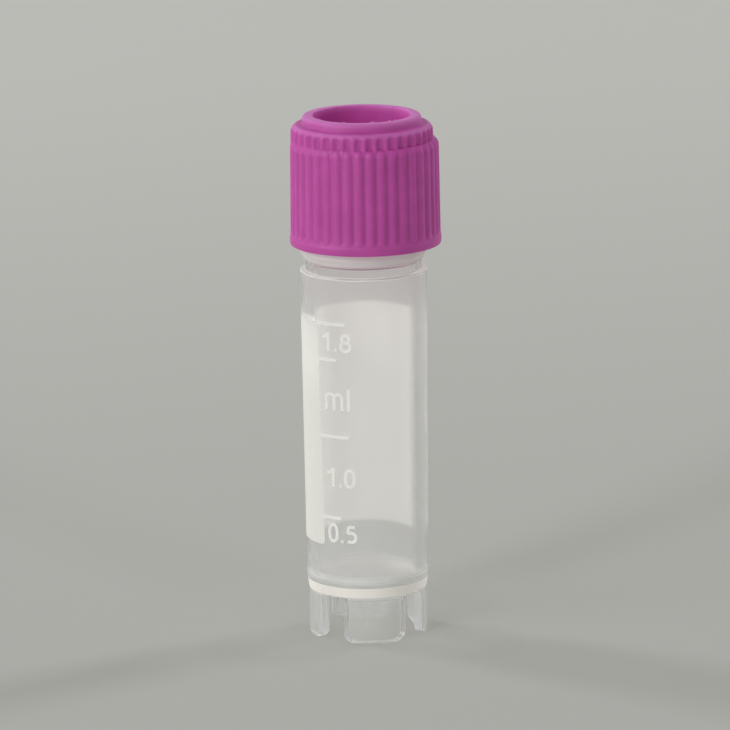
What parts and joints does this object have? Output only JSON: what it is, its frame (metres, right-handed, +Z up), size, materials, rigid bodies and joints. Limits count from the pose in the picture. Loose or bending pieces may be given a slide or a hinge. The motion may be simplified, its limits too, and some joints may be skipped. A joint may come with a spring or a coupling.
{
  "type": "cryogenic vial",
  "caption": "Clear self-standing cryogenic vial with feet under a conical floor and a ribbed screw cap over an external thread.",
  "frame": {"origin": "on the tube's axis, in the plane that the feet stand on", "axes": "+Z up along the tube's axis, -Y towards the side with the volume scale, +X to that side's right"},
  "size_m": [0.014, 0.014, 0.0489],
  "materials": {
    "clear_plastic": "clear, faintly hazy moulded polypropylene",
    "cap_plastic": "satin magenta moulded plastic",
    "silicone": "translucent white silicone"
  },
  "bodies": {
    "tube": {"tube": "clear_plastic"},
    "washer_seat": {"sealing_washer": "silicone"},
    "cap": {"screw_cap": "cap_plastic"}
  },
  "joints": [
    {"name": "cap_lift", "type": "slide", "parent": "tube", "child": "washer_seat", "axis": [0, 0, 1], "range_m": [0, 0.0045]},
    {"name": "cap_turn", "type": "hinge", "parent": "washer_seat", "child": "cap", "pos_m": [0, 0, 0.0455], "axis": [0, 0, 1], "range_deg": [0, 540]}
  ],
  "couplings": [
    {"joint": "cap_turn", "follows": "cap_lift", "rad_per_m": 2094.4}
  ]
}
